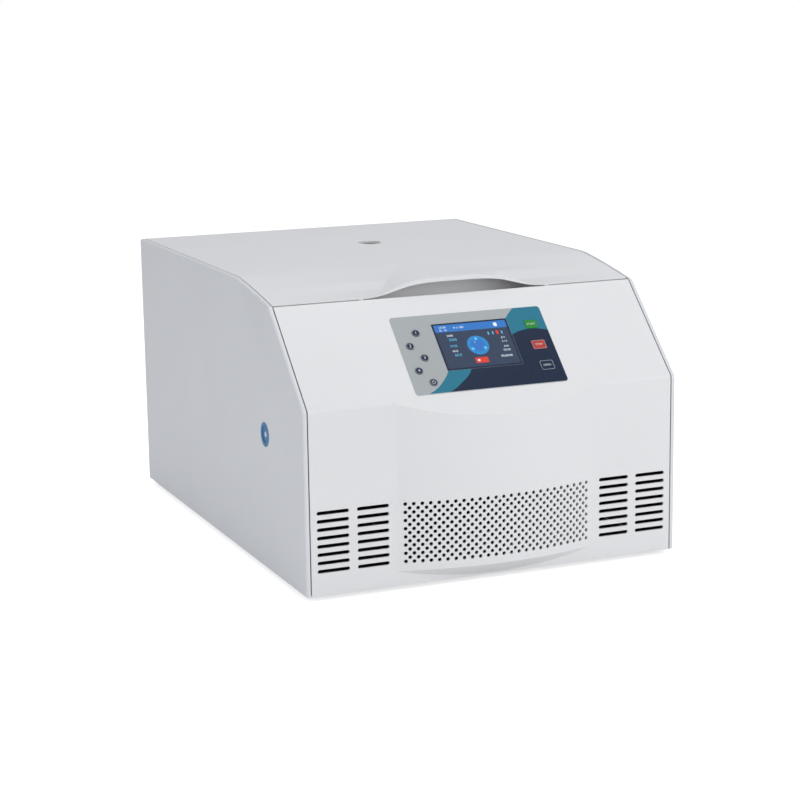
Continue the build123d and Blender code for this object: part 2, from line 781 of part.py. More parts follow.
visor_skin = top_z - high_z - arch_rise
with BuildPart() as lid_shell:
    with BuildSketch(upright_plane(-panel_half)):
        add(side_outline())
        with BuildLine():
            Polyline(
                (front_y + lid_front, lid_tip_z),
                (front_y + lid_front, top_z + lid_wall),
                (lid_back_y, top_z + lid_wall),
                (lid_back_y, rear_low_z),
                (back_y - rear_notch, rear_low_z),
                (back_y - rear_notch, lid_bottom_z),
                (front_y + lid_toe, lid_bottom_z),
                close=True,
            )
        make_face(mode=Mode.INTERSECT)
    extrude(amount=2 * panel_half)
    add(visor_loft(0, high_z - 1, front_y + lid_front, back_y))
    side_cavity = slope_run + recess_depth + lid_wall
    for low, high, start in (
        (-panel_half + lid_wall, panel_half - lid_wall, side_cavity),
        (-panel_half + lid_wall, -swell_half - lid_wall, lid_front + 2 * lid_wall),
        (swell_half + lid_wall, panel_half - lid_wall, lid_front + 2 * lid_wall),
    ):
        with BuildSketch(upright_plane(low)):
            add(side_outline(lid_wall))
            cavity_low = lid_bottom_z - 1
            cavity_back = lid_back_y - lid_wall
            with Locations(((front_y + start + cavity_back) / 2, (cavity_low + top_z) / 2)):
                Rectangle(
                    cavity_back - front_y - start, top_z - cavity_low, mode=Mode.INTERSECT
                )
        extrude(amount=high - low, mode=Mode.SUBTRACT)
    add(
        visor_loft(visor_skin, lid_bottom_z - 1, front_y + lid_front, recess_y),
        mode=Mode.SUBTRACT,
    )
    add(
        visor_loft(visor_skin, lid_bottom_z - 1, recess_y + lid_wall, back_y),
        mode=Mode.SUBTRACT,
    )
    with BuildSketch(Plane.XY.offset(top_z - 2 * lid_wall)):
        with Locations((sight_x, front_y + sight_back)):
            Circle(sight_radius)
    extrude(amount=3 * lid_wall, mode=Mode.SUBTRACT)
    notch_half = hinge_width / 2 + fit + ear_sheet + 1
    notch_top = hinge_z + knuckle_radius + 2
    with BuildSketch(facing_plane(lid_back_y)):
        for x in (-hinge_x, hinge_x):
            with Locations((x, (rear_low_z - 1 + notch_top) / 2)):
                Rectangle(2 * notch_half, notch_top - rear_low_z + 1)
    extrude(amount=lid_wall + 1, mode=Mode.SUBTRACT)
save(lid_shell.part, "lid_shell")

ceiling_z = top_z - lid_wall
post_places = [
    (sign * reach, y)
    for reach, y in ((post_inset, bowl_y - post_inset), (post_reach, bowl_y + post_reach))
    for sign in (-1, 1)
]
with BuildPart() as lid_liner:
    with BuildSketch(Plane.XY.offset(liner_z)):
        with Locations((0, bowl_y)):
            Circle(liner_radius)
        liner_front = recess_y + lid_wall + 2
        with Locations((0, (liner_front + bowl_y) / 2)):
            Rectangle(2 * liner_half, bowl_y - liner_front)
        with Locations((sight_x, front_y + sight_back)):
            Circle(sight_radius, mode=Mode.SUBTRACT)
    extrude(amount=liner_sheet)
    with BuildSketch(Plane.XY.offset(liner_z + liner_sheet)):
        with Locations(*post_places):
            RegularPolygon(post_radius, 8)
    extrude(amount=ceiling_z - liner_z - liner_sheet)
save(lid_liner.part, "lid_liner")

with BuildPart() as lid_seal:
    with BuildSketch(Plane.XY.offset(deck_z + bowl_wall + fit)):
        with Locations((0, bowl_y)):
            Circle(seal_outer)
            Circle(seal_inner, mode=Mode.SUBTRACT)
    extrude(amount=liner_z - deck_z - bowl_wall - fit)
save(lid_seal.part, "lid_seal")

with BuildPart() as sight_tube:
    with BuildSketch(Plane.XY.offset(liner_z + liner_sheet)):
        with Locations((sight_x, front_y + sight_back)):
            Circle(sight_radius + sight_tube_wall)
            Circle(sight_radius, mode=Mode.SUBTRACT)
    extrude(amount=ceiling_z - liner_z - liner_sheet)
save(sight_tube.part, "sight_tube")

with BuildPart() as sight_window:
    with BuildSketch(Plane.XY.offset(liner_z - window_sheet)):
        with Locations((sight_x, front_y + sight_back)):
            Circle(sight_radius + 2 * sight_tube_wall)
    extrude(amount=window_sheet)
save(sight_window.part, "sight_window")

# Lock: hook under the lid, housing with a pawl under the deck
hook_y = front_y + hook_back
hook_low = deck_z - hook_below_deck
window_low = hook_low + 4
with BuildPart() as lid_hook:
    with BuildSketch(facing_plane(hook_y + hook_sheet / 2)):
        with Locations((0, (hook_low + liner_z) / 2)):
            Rectangle(hook_width, liner_z - hook_low)
        with Locations((0, window_low + (pawl_height + 2) / 2)):
            Rectangle(pawl_width + 4, pawl_height + 2, mode=Mode.SUBTRACT)
    extrude(amount=hook_sheet)
save(lid_hook.part, "lid_hook")

housing_size = (70.0, 44.0, 34.0)
housing_y = hook_y + 10
pawl_z = window_low + 1 + pawl_height / 2
pawl_length = 22.0
pawl_rest = hook_y + hook_sheet / 2 + 3
with BuildPart() as lock_housing:
    with BuildSketch(Plane.XY.offset(deck_z - sheet - housing_size[2])):
        with Locations((0, housing_y)):
            Rectangle(housing_size[0], housing_size[1])
    extrude(amount=housing_size[2])
    with BuildSketch(Plane.XY.offset(deck_z - sheet)):
        with Locations((0, hook_y)):
            Rectangle(hook_width + 6, hook_sheet + 8)
    extrude(amount=sheet - hook_below_deck - 2, mode=Mode.SUBTRACT)
    with BuildSketch(facing_plane(pawl_rest + pawl_length)):
        with Locations((0, pawl_z)):
            Rectangle(pawl_width + 2 * fit, pawl_height + 2 * fit)
    extrude(amount=pawl_length + pawl_channel, mode=Mode.SUBTRACT)
save(lock_housing.part, "lock_housing")

with BuildPart() as lock_pawl:
    with BuildSketch(facing_plane(pawl_rest + pawl_length)):
        with Locations((0, pawl_z)):
            Rectangle(pawl_width, pawl_height)
    extrude(amount=pawl_length)
    chamfer(lock_pawl.faces().sort_by(Axis.Y)[0].edges().sort_by(Axis.Z)[-1], 3)
save(lock_pawl.part, "lock_pawl")

# Hinges: an arm on the lid between two ears on the deck
for side, x in {"left": -hinge_x, "right": hinge_x}.items():
    with BuildPart() as arm:
        with BuildSketch(upright_plane(x - hinge_width / 2)):
            with Locations((hinge_y, hinge_z)):
                Circle(knuckle_radius)
            with Locations((hinge_y - knuckle_radius, (hinge_z + ceiling_z) / 2)):
                Rectangle(2 * knuckle_radius, ceiling_z - hinge_z)
            with Locations((hinge_y - 4 * knuckle_radius, ceiling_z - 2)):
                Rectangle(8 * knuckle_radius, 4)
            with Locations((hinge_y, hinge_z)):
                Circle(pin_radius + running, mode=Mode.SUBTRACT)
        extrude(amount=hinge_width)
    save(arm.part, f"lid_hinge_{side}")
    ear_inner = hinge_width / 2 + fit
    with BuildPart() as bracket:
        with BuildSketch(Plane.XY.offset(deck_z)):
            with Locations((x, hinge_y - 8)):
                Rectangle(2 * (ear_inner + ear_sheet + 8), 24)
        extrude(amount=2.5)
        for start in (x - ear_inner - ear_sheet, x + ear_inner):
            with BuildSketch(upright_plane(start)):
                with Locations((hinge_y, hinge_z)):
                    Circle(knuckle_radius - 1.5)
                with Locations((hinge_y - 4, (deck_z + hinge_z) / 2)):
                    Rectangle(2 * knuckle_radius + 4, hinge_z - deck_z)
            extrude(amount=ear_sheet)
        with BuildSketch(upright_plane(x - ear_inner - ear_sheet)):
            with Locations((hinge_y, hinge_z)):
                Circle(pin_radius)
        extrude(amount=2 * (ear_inner + ear_sheet))
    save(bracket.part, f"hinge_bracket_{side}")

# Fan: frame with four spokes and a pin, impeller with pitched blades
fan_z = skirt_z + fan_up
fan_back = rear_face_y - sheet
spoke = 3.0
with BuildPart() as fan_frame:
    with BuildSketch(facing_plane(fan_back)):
        with Locations((fan_x, fan_z)):
            Rectangle(fan_size, fan_size)
            Circle(fan_bore / 2, mode=Mode.SUBTRACT)
    extrude(amount=fan_depth)
    with BuildSketch(facing_plane(fan_back)):
        with Locations((fan_x, fan_z)):
            Rectangle(fan_bore, spoke)
            Rectangle(spoke, fan_bore)
            Circle(fan_hub)
    extrude(amount=spoke)
    with BuildSketch(facing_plane(fan_back - spoke)):
        with Locations((fan_x, fan_z)):
            Circle(fan_pin)
    extrude(amount=fan_depth - 2 * spoke)
save(fan_frame.part, "fan_frame")

with BuildPart() as fan_impeller:
    impeller_back = fan_back - spoke - 1
    impeller_depth = fan_depth - spoke - 3
    with BuildSketch(facing_plane(impeller_back)):
        with Locations((fan_x, fan_z)):
            Circle(fan_hub)
    extrude(amount=impeller_depth)
    blade_reach = fan_bore / 2 - 1.5
    for blade in range(fan_blades):
        turn = math.radians(360 / fan_blades * blade)
        out = (math.cos(turn), 0, math.sin(turn))
        start = Vector(fan_x, impeller_back - impeller_depth / 2, fan_z)
        root = Plane(
            origin=start + Vector(*out) * (fan_hub - 1), x_dir=(0, 1, 0), z_dir=out
        )
        with BuildSketch(root):
            Rectangle(impeller_depth * 0.8, 1.6, rotation=40)
        extrude(amount=blade_reach - fan_hub + 0.5)
    with BuildSketch(facing_plane(impeller_back)):
        with Locations((fan_x, fan_z)):
            Circle(fan_pin + running)
    extrude(amount=impeller_depth, mode=Mode.SUBTRACT)
save(fan_impeller.part, "fan_impeller")

# Power inlet: socket below, rocker switch above, in one snap-in frame
inlet_z = skirt_z + inlet_up
rocker_z = inlet_z + rocker_up
rocker_axis_y = rear_face_y - 3
with BuildPart() as power_inlet:
    with BuildSketch(facing_plane(rear_face_y + inlet_flange)):
        with Locations((inlet_x, inlet_z)):
            Rectangle(*inlet_size)
    extrude(amount=inlet_flange)
    with BuildSketch(facing_plane(rear_face_y)):
        with Locations((inlet_x, inlet_z)):
            Rectangle(inlet_size[0] - 2 * inlet_flange, inlet_size[1] - 2 * inlet_flange)
    extrude(amount=inlet_depth)
    with BuildSketch(facing_plane(rear_face_y + inlet_flange)):
        with Locations((inlet_x, inlet_z - socket_down)):
            Rectangle(*socket_size)
    extrude(amount=socket_depth, mode=Mode.SUBTRACT)
    with BuildSketch(facing_plane(rear_face_y + inlet_flange - socket_depth)):
        with Locations((inlet_x, inlet_z - socket_down)):
            with Locations((-7, -2), (0, 2.5), (7, -2)):
                Rectangle(2, 4)
    extrude(amount=-(socket_depth - 3))
    with BuildSketch(facing_plane(rear_face_y + inlet_flange)):
        with Locations((inlet_x, rocker_z)):
            Rectangle(rocker_size[0] + 1, rocker_size[1] + 2)
    extrude(amount=socket_depth, mode=Mode.SUBTRACT)
    with BuildSketch(upright_plane(inlet_x - rocker_size[0] / 2 - 1.5)):
        with Locations((rocker_axis_y, rocker_z)):
            Circle(fan_pin + running)
    extrude(amount=rocker_size[0] + 3, mode=Mode.SUBTRACT)
save(power_inlet.part, "power_inlet")

with BuildPart() as power_rocker:
    with BuildSketch(upright_plane(inlet_x - rocker_size[0] / 2)):
        half = rocker_size[1] / 2
        with BuildLine():
            Polyline(
                (rocker_axis_y + 5.8, rocker_z + half - 1),
                (rocker_axis_y + 3.5, rocker_z),
                (rocker_axis_y + 4.4, rocker_z - half + 0.6),
                (rocker_axis_y - 4, rocker_z - half + 2),
                (rocker_axis_y - 4, rocker_z + half - 2),
                close=True,
            )
        make_face()
    extrude(amount=rocker_size[0])
    with BuildSketch(upright_plane(inlet_x - rocker_size[0] / 2 - 1.2)):
        with Locations((rocker_axis_y, rocker_z)):
            Circle(fan_pin)
    extrude(amount=rocker_size[0] + 2.4)
save(power_rocker.part, "power_rocker")
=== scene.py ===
# %% [markdown]
# # A benchtop oil centrifuge
# This notebook dresses a measured model of a laboratory centrifuge: a white cabinet with
# a sloping control panel, a punched bulge that lets cooling air in, and a hinged lid over
# a steel chamber. The solids come from the frame, in metres. This script adds finishes,
# prints and the fine punched work, whose sizes are written in millimetres.

# %% Load the frame
import json
import math

import bmesh
import bpy
import numpy as np
from mathutils import Matrix, Vector


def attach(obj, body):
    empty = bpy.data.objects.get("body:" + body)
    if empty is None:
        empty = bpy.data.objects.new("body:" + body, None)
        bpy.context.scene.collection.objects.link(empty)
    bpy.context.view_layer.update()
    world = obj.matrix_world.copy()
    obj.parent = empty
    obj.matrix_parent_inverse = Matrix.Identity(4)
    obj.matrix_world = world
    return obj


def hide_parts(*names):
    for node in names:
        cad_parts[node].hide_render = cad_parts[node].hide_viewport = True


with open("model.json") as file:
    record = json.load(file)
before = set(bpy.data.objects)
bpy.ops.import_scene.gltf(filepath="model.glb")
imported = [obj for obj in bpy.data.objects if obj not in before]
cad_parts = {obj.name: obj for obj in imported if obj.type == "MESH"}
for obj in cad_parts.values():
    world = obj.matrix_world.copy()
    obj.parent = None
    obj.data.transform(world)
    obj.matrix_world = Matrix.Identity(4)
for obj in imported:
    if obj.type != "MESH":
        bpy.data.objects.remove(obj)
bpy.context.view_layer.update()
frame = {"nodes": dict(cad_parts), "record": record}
nodes = frame["nodes"]
MM = 0.001

# %% [markdown]
# The pieces added here hang on a few levels: the front plane, the lower knee where the
# slope starts, the angle of that slope, and the rear face.

# %% Levels of the cabinet
FRONT_Y = -314.4
LOW_KNEE_Z = 227.0
SLOPE_RISE, SLOPE_RUN = 106.5, 110.0
SLOPE_ANGLE = math.atan2(SLOPE_RISE, SLOPE_RUN)
SKIRT_Z = 6.0
REAR_Y = 331.6
UP_SLOPE = np.array([0, math.cos(SLOPE_ANGLE), math.sin(SLOPE_ANGLE)])
OFF_SLOPE = np.array([0, -math.sin(SLOPE_ANGLE), math.cos(SLOPE_ANGLE)])


def on_slope(across, up, height):
    """Points on the control panel: the lower knee, plus across times X, up times the slope's
    direction and height times its normal, all in millimetres, given back in metres."""
    across, up, height = np.broadcast_arrays(across, up, height)
    knee = np.array([0, FRONT_Y, LOW_KNEE_Z])
    points = across[..., None] * np.array([1.0, 0, 0]) + up[..., None] * UP_SLOPE
    return (knee + points + height[..., None] * OFF_SLOPE) * MM


# %% [markdown]
# ## Camera and light
# The camera stands to the left of the front and a little above the lid. A long lens keeps
# the cabinet's edges nearly parallel.

# %% Camera
camera = bpy.data.objects.new("camera", bpy.data.cameras.new("camera"))
bpy.context.scene.collection.objects.link(camera)
right = Vector((0.92077, -0.38985, -0.01391))
up = Vector((0.09204, 0.18246, 0.97890))
back = -Vector((0.37908, 0.90262, -0.20388))
turn = Matrix((right, up, back)).transposed().to_4x4()
camera.matrix_world = Matrix.Translation((-1.0452, -2.5091, 0.7265)) @ turn
camera.data.sensor_width = 36.0
camera.data.lens = 94.0
camera.data.clip_end = 50.0
bpy.context.scene.camera = camera


# %% [markdown]
# Colours are written as sRGB hex codes and turned into linear light in one place. Shader
# nodes are added through one helper, which keeps each finish down to a few lines.


# %% Colours and the node helper
def linear(code, alpha=1.0):
    """An sRGB hex colour as the linear values that shaders use."""
    value = np.array([int(code[i : i + 2], 16) for i in (0, 2, 4)]) / 255
    value = np.where(value <= 0.04045, value / 12.92, ((value + 0.055) / 1.055) ** 2.4)
    return (*value.tolist(), alpha)


def add_node(tree, kind, settings=(), links=()):
    """Adds one node, sets its properties and input values, and links its inputs."""
    made = tree.nodes.new(kind)
    for name, value in dict(settings).items():
        if isinstance(name, int) or name in made.inputs:
            made.inputs[name].default_value = value
        else:
            setattr(made, name, value)
    for name, source in dict(links).items():
        tree.links.new(source, made.inputs[name])
    return made


# %% [markdown]
# The room is a pale studio. A large soft lamp stands in front, a weaker one hangs above and
# another stands on the left. The world lights the cabinet at about half strength, while
# the camera and what it sees through glass get plain white. That way the background is
# white and the pale cabinet keeps its shades.

# %% World
world = bpy.data.worlds.new("studio")
bpy.context.scene.world = world
world.use_nodes = True
tree = world.node_tree
tree.nodes.clear()
rays = add_node(tree, "ShaderNodeLightPath")
seen = add_node(tree, "ShaderNodeMath", {"operation": "MAXIMUM"})
tree.links.new(rays.outputs["Is Camera Ray"], seen.inputs[0])
tree.links.new(rays.outputs["Is Transmission Ray"], seen.inputs[1])
soft = add_node(tree, "ShaderNodeBackground", {"Color": linear("F4F6FA"), "Strength": 0.49})
white = add_node(tree, "ShaderNodeBackground", {"Color": (1, 1, 1, 1), "Strength": 1.0})
mixed = add_node(tree, "ShaderNodeMixShader", links={"Fac": seen.outputs[0]})
tree.links.new(soft.outputs[0], mixed.inputs[1])
tree.links.new(white.outputs[0], mixed.inputs[2])
add_node(tree, "ShaderNodeOutputWorld", links={"Surface": mixed.outputs[0]})


# %% Lamps
def add_lamp(name, place, target, size, power):
    """A square area lamp at a place, turned to look at a target, all in metres."""
    lamp = bpy.data.lights.new(name, "AREA")
    lamp.size = size
    lamp.energy = power
    stand = bpy.data.objects.new(name, lamp)
    stand.location = place
    stand.rotation_euler = (Vector(target) - Vector(place)).to_track_quat("-Z", "Y").to_euler()
    bpy.context.scene.collection.objects.link(stand)


CENTRE = (0, 0, 0.18)
add_lamp("front_lamp", (1.3, -3.0, 1.5), CENTRE, 2.2, 34)
add_lamp("top_lamp", (0.3, 0.3, 3.0), CENTRE, 2.0, 21)
add_lamp("left_lamp", (-3.2, -0.6, 1.3), CENTRE, 2.0, 10)
bpy.context.scene.view_settings.view_transform = "Standard"

# %% [markdown]
# The floor is a wide sheet of white paper. To the camera it also gives off some light of
# its own, so that only a soft shadow is left on it.

# %% Floor
FLOOR_REACH = 9.0
floor_mesh = bpy.data.meshes.new("floor")
corners = [(x * FLOOR_REACH, y * FLOOR_REACH, 0) for x, y in ((-1, -1), (1, -1), (1, 1), (-1, 1))]
floor_mesh.from_pydata(corners, [], [(0, 1, 2, 3)])
floor = bpy.data.objects.new("floor", floor_mesh)
bpy.context.scene.collection.objects.link(floor)
floor_finish = bpy.data.materials.new("white paper floor")
floor_finish.use_nodes = True
tree = floor_finish.node_tree
paper = tree.nodes["Principled BSDF"]
paper.inputs["Base Color"].default_value = linear("FAFAFA")
paper.inputs["Roughness"].default_value = 0.9
paper.inputs["Emission Color"].default_value = (1, 1, 1, 1)
rays = add_node(tree, "ShaderNodeLightPath")
glow = add_node(tree, "ShaderNodeMath", {"operation": "MULTIPLY", 1: 0.66})
tree.links.new(rays.outputs["Is Camera Ray"], glow.inputs[0])
tree.links.new(glow.outputs[0], paper.inputs["Emission Strength"])
floor_mesh.materials.append(floor_finish)

# %% [markdown]
# ## Finishes
# Nearly everything that shows is a white coat over sheet metal or a white moulding. Both
# are dielectric with an IOR near 1.5. A powder coat has a fine orange peel of about a
# millimetre, a moulding a finer grain. Metals keep their colour in the base and show how
# they were made in their bump: turned, drawn, brushed or plated.


# %% A finish with a grain
def grained(
    name,
    code,
    rough,
    grain_mm,
    depth_mm=0.02,
    metal=0.0,
    shift=0.03,
    stretch=(1, 1, 1),
    **sockets,
):
    """A Principled finish. Object coordinates over the grain's real size drive a noise,
    which varies the roughness a little and gives the bump its height in metres. A broader
    noise varies the colour by the shift."""
    finish = bpy.data.materials.new(name)
    finish.use_nodes = True
    tree = finish.node_tree
    shader = tree.nodes["Principled BSDF"]
    shader.inputs["Metallic"].default_value = metal
    for socket, value in sockets.items():
        shader.inputs[socket.replace("_", " ")].default_value = value
    place = add_node(tree, "ShaderNodeTexCoord").outputs["Object"]
    scaled = add_node(tree, "ShaderNodeMapping", {"Scale": stretch}, {"Vector": place})
    noise = add_node(
        tree,
        "ShaderNodeTexNoise",
        {"Scale": 1 / (grain_mm * MM), "Detail": 3.0},
        {"Vector": scaled.outputs[0]},
    )
    broad = add_node(tree, "ShaderNodeTexNoise", {"Scale": 9.0}, {"Vector": place})
    base = np.array(linear(code)[:3])
    tint = add_node(tree, "ShaderNodeValToRGB", links={"Fac": broad.outputs["Fac"]})
    tint.color_ramp.elements[0].color = (*(base * (1 - shift)), 1)
    tint.color_ramp.elements[1].color = (*np.minimum(base * (1 + shift), 1), 1)
    tree.links.new(tint.outputs[0], shader.inputs["Base Color"])
    dull = add_node(
        tree,
        "ShaderNodeMapRange",
        {"To Min": max(rough - 0.05, 0.02), "To Max": rough + 0.05},
        {"Value": noise.outputs["Fac"]},
    )
    tree.links.new(dull.outputs[0], shader.inputs["Roughness"])
    bump = add_node(
        tree,
        "ShaderNodeBump",
        {"Strength": 0.6, "Distance": depth_mm * MM},
        {"Height": noise.outputs["Fac"]},
    )
    tree.links.new(bump.outputs[0], shader.inputs["Normal"])
    return finish


# %% Coats, mouldings and metals
# Polyester powder coat, baked: satin white with an orange peel of about 1.2 mm
powder_coat = grained("polyester powder coat", "E9EBEE", 0.38, 1.2, 0.012)
# ABS, moulded in a spark-eroded tool: satin, grain about 0.8 mm
moulded_abs = grained("moulded white ABS", "F1F1F2", 0.42, 0.8, 0.010, shift=0.015)
# Zinc-plated sheet: cool grey metal with a soft spangle of a few millimetres
zinc_sheet = grained("zinc plated sheet", "B4B8BC", 0.38, 4.0, 0.01, metal=1.0, shift=0.08)
# Stainless steel, drawn and brushed round: streaks stretched along one direction
drawn_steel = grained("drawn stainless steel", "C9CBCE", 0.26, 1.0, 0.01, 1.0, 0.04, (1, 1, 14))
# Aluminium, turned and anodised clear: fine even satin
anodised = grained("clear anodised aluminium", "CFD2D6", 0.32, 0.6, 0.006, metal=1.0)
# Rubber, pressed in a mould: dull, with a coarse skin. The lid's seal is silicone
black_rubber = grained("black rubber", "17181A", 0.75, 0.7, 0.03, shift=0.15)
silicone = grained("grey silicone", "C4C3BD", 0.6, 0.9, 0.02)
# ABS for the fan and the inlet, stoved enamel for the motor
black_abs = grained("moulded black ABS", "1B1C1E", 0.45, 0.5, 0.01, shift=0.1)
black_enamel = grained("black enamel", "202224", 0.3, 2.0, 0.02, shift=0.1)
# Heater mat faced with foil, lacquered board, and a moulded cap of polypropylene
heater_foil = grained("foil faced heater", "C8B79A", 0.35, 3.0, 0.05, metal=1.0)
circuit_board = grained("green circuit board", "0F4A2A", 0.4, 2.0, 0.02, shift=0.2)
blue_cap = grained("moulded blue polypropylene", "1F74AE", 0.32, 0.6, 0.01)

# %% Inks and screen
# Screen printed film over the keys: satin polyester, each ink its own colour
film_grey = grained("grey printed film", "B2B8B9", 0.34, 0.5, 0.004)
film_teal = grained("teal printed film", "1E7D97", 0.30, 0.5, 0.004)
film_navy = grained("navy printed film", "0A2140", 0.28, 0.5, 0.004)
film_green = grained("green printed film", "22912C", 0.32, 0.5, 0.004)
film_red = grained("red printed film", "C23A2B", 0.32, 0.5, 0.004)
film_rim = grained("light grey ink", "8E98A4", 0.34, 0.5, 0.004)
white_ink = grained("white ink", "E4E8EC", 0.4, 0.5, 0.004)
# Screen: acrylic over a lit panel, so its colours glow a little by themselves
screen_dark = grained("acrylic screen", "364560", 0.14, 0.5, 0.001, Coat_Weight=0.4)


def lit(name, code, strength=0.35):
    """A colour of the lit screen: smooth acrylic that also gives off its own colour."""
    finish = grained(name, code, 0.2, 0.5, 0.001)
    shader = finish.node_tree.nodes["Principled BSDF"]
    shader.inputs["Emission Color"].default_value = linear(code)
    shader.inputs["Emission Strength"].default_value = strength
    return finish


screen_blue = lit("screen header blue", "2F6EB6")
screen_disc = lit("screen disc blue", "2B7FBE")
screen_red = lit("screen red", "CF3B2C")
screen_text = lit("screen text", "DCE8F4")
screen_cyan = lit("screen cyan text", "5FB4DA")

# %% Glass and the table of finishes
# Toughened float glass: smooth, clear and faintly green
clear_glass = bpy.data.materials.new("clear toughened glass")
clear_glass.use_nodes = True
glass_shader = clear_glass.node_tree.nodes["Principled BSDF"]
glass_shader.inputs["Base Color"].default_value = linear("DDE8EA")
glass_shader.inputs["Roughness"].default_value = 0.03
glass_shader.inputs["Transmission Weight"].default_value = 1.0

FINISHES = {
    "powder_white": powder_coat,
    "moulded_white": moulded_abs,
    "zinc_steel": zinc_sheet,
    "stainless": drawn_steel,
    "alloy": anodised,
    "black_rubber": black_rubber,
    "white_rubber": silicone,
    "panel_print": film_grey,
    "screen": screen_dark,
    "board": circuit_board,
    "key_navy": film_navy,
    "key_green": film_green,
    "key_red": film_red,
    "motor_paint": black_enamel,
    "black_plastic": black_abs,
    "heater": heater_foil,
    "clear": clear_glass,
    "plug_blue": blue_cap,
}

# %% [markdown]
# The solids arrive as loose triangles. Welding them and splitting only at edges sharper
# than 25 degrees lets rolled corners, the bulge and the visor shade as smooth surfaces,
# while folded edges stay crisp. The meshes themselves are left as they are.

# %% Dress the solids
CREASE = math.radians(25)
slots = {part["node"]: part["material_slot"] for part in frame["record"]["subparts"]}
for name, solid in nodes.items():
    solid.data.materials.clear()
    solid.data.materials.append(FINISHES[slots[name]])
    if "custom_normal" in solid.data.attributes:
        solid.data.attributes.remove(solid.data.attributes["custom_normal"])
    solid.data.polygons.foreach_set("use_smooth", np.ones(len(solid.data.polygons), bool))
    weld = solid.modifiers.new("weld", "WELD")
    weld.merge_threshold = 1e-6
    crease = solid.modifiers.new("crease", "EDGE_SPLIT")
    crease.split_angle = CREASE
print("dressed", len(nodes), "solids with", len(FINISHES), "finishes")


# %% [markdown]
# Every added piece is a plain mesh. It names the body that carries it, so that it moves with
# the lid, a key or the plug.


# %% A helper that makes a piece
def make_piece(name, points, faces, finish, body, smooth=False):
    """A mesh object at the origin from an array of points and a list of faces."""
    mesh = bpy.data.meshes.new(name)
    mesh.from_pydata(np.asarray(points).tolist(), [], [list(map(int, f)) for f in faces])
    mesh.polygons.foreach_set("use_smooth", np.full(len(mesh.polygons), smooth))
    mesh.materials.append(finish)
    mesh.update()
    piece = bpy.data.objects.new(name, mesh)
    bpy.context.scene.collection.objects.link(piece)
    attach(piece, body)
    return piece


# %% [markdown]
# ## Intake grille
# The bulge is punched with staggered rows of round holes, 368 in all. Cutting them with
# booleans is slow, so the plate is woven from cells as wide as the pitch and as high as a
# row. In each, a ring of twelve quads joins the hole's circle to the cell's edge, and
# neighbours share that edge's points. The flat pattern is then rolled onto the bulge.

# %% Punched plate
BULGE_RADIUS = 412.24
BULGE_RISE = 21.2
BULGE_AXIS_Y = FRONT_Y - BULGE_RISE + BULGE_RADIUS
CELL_POINTS = 12
HOLE_RADIUS = 2.35
HOLE_PITCH = 10.15
ROW_STEP = 5.0
HOLE_COLUMNS = 25
HOLE_ROWS = 15
FIRST_ROW = SKIRT_Z + 30.0
PLATE_MARGIN = 6.0
PLATE_WALL = 2.5
PLATE_ARC = (HOLE_COLUMNS - 1) * HOLE_PITCH / 2 + PLATE_MARGIN
PLATE_LOW = FIRST_ROW - PLATE_MARGIN
PLATE_HIGH = FIRST_ROW + (HOLE_ROWS - 1) * ROW_STEP + PLATE_MARGIN


def cell_ring():
    """One cell: twelve points round its edge, and the points of the circle in the same
    directions, both relative to the hole's centre."""
    half, side = HOLE_PITCH / 2, ROW_STEP / 2
    top = np.array([[-half, side], [-half / 2, side], [0, side], [half / 2, side], [half, side]])
    edge = np.vstack([top, [[half, 0]], -top, [[-half, 0]]])
    angle = np.radians(150 - 30 * np.arange(CELL_POINTS))
    return edge, HOLE_RADIUS * np.stack([np.cos(angle), np.sin(angle)], axis=1)


def strip(columns, rows):
    """Plain quads over a grid of column and row positions."""
    grid = np.stack(np.meshgrid(columns, rows, indexing="ij"), axis=-1)
    index = np.arange(grid.size // 2).reshape(grid.shape[:2])
    quads = np.stack([index[:-1, :-1], index[:-1, 1:], index[1:, 1:], index[1:, :-1]], axis=-1)
    return grid.reshape(-1, 2), quads.reshape(-1, 4)


# %% [markdown]
# A row with a column less leaves half a cell blank at either end, and plain strips close
# the pattern above, below and beside the rows.

# %% Flat pattern
flat_points, flat_faces = [], []


def lay(points, faces):
    """Adds a patch of the flat pattern and moves its face indices past the points so far."""
    flat_faces.append(faces + sum(map(len, flat_points)))
    flat_points.append(points)


edge, circle = cell_ring()
ring = np.arange(CELL_POINTS)
after = (ring + 1) % CELL_POINTS
ring_faces = np.stack([ring, after, after + CELL_POINTS, ring + CELL_POINTS], axis=1)
reach = HOLE_COLUMNS * HOLE_PITCH / 2
for row in range(HOLE_ROWS):
    columns = HOLE_COLUMNS - row % 2
    level = FIRST_ROW + row * ROW_STEP
    for column in range(columns):
        centre = np.array([(column - (columns - 1) / 2) * HOLE_PITCH, level])
        lay(np.vstack([edge, circle]) + centre, ring_faces)
    if row % 2:
        blank = np.array([reach - HOLE_PITCH / 2, reach - HOLE_PITCH / 4, reach])
        levels = level + np.array([-1, 0, 1]) * ROW_STEP / 2
        lay(*strip(blank, levels))
        lay(*strip(-blank[::-1], levels))
holes_low = FIRST_ROW - ROW_STEP / 2
holes_high = holes_low + HOLE_ROWS * ROW_STEP
quarter = np.linspace(-reach, reach, 4 * HOLE_COLUMNS + 1)
across_all = np.concatenate([[-PLATE_ARC], quarter, [PLATE_ARC]])
half_rows = np.linspace(holes_low, holes_high, 2 * HOLE_ROWS + 1)
lay(*strip(across_all, np.array([PLATE_LOW, holes_low])))
lay(*strip(across_all, np.array([holes_high, PLATE_HIGH])))
lay(*strip(np.array([-PLATE_ARC, -reach]), half_rows))
lay(*strip(np.array([reach, PLATE_ARC]), half_rows))
pattern = np.vstack(flat_points)
print("patches", len(flat_faces), "points", len(pattern))

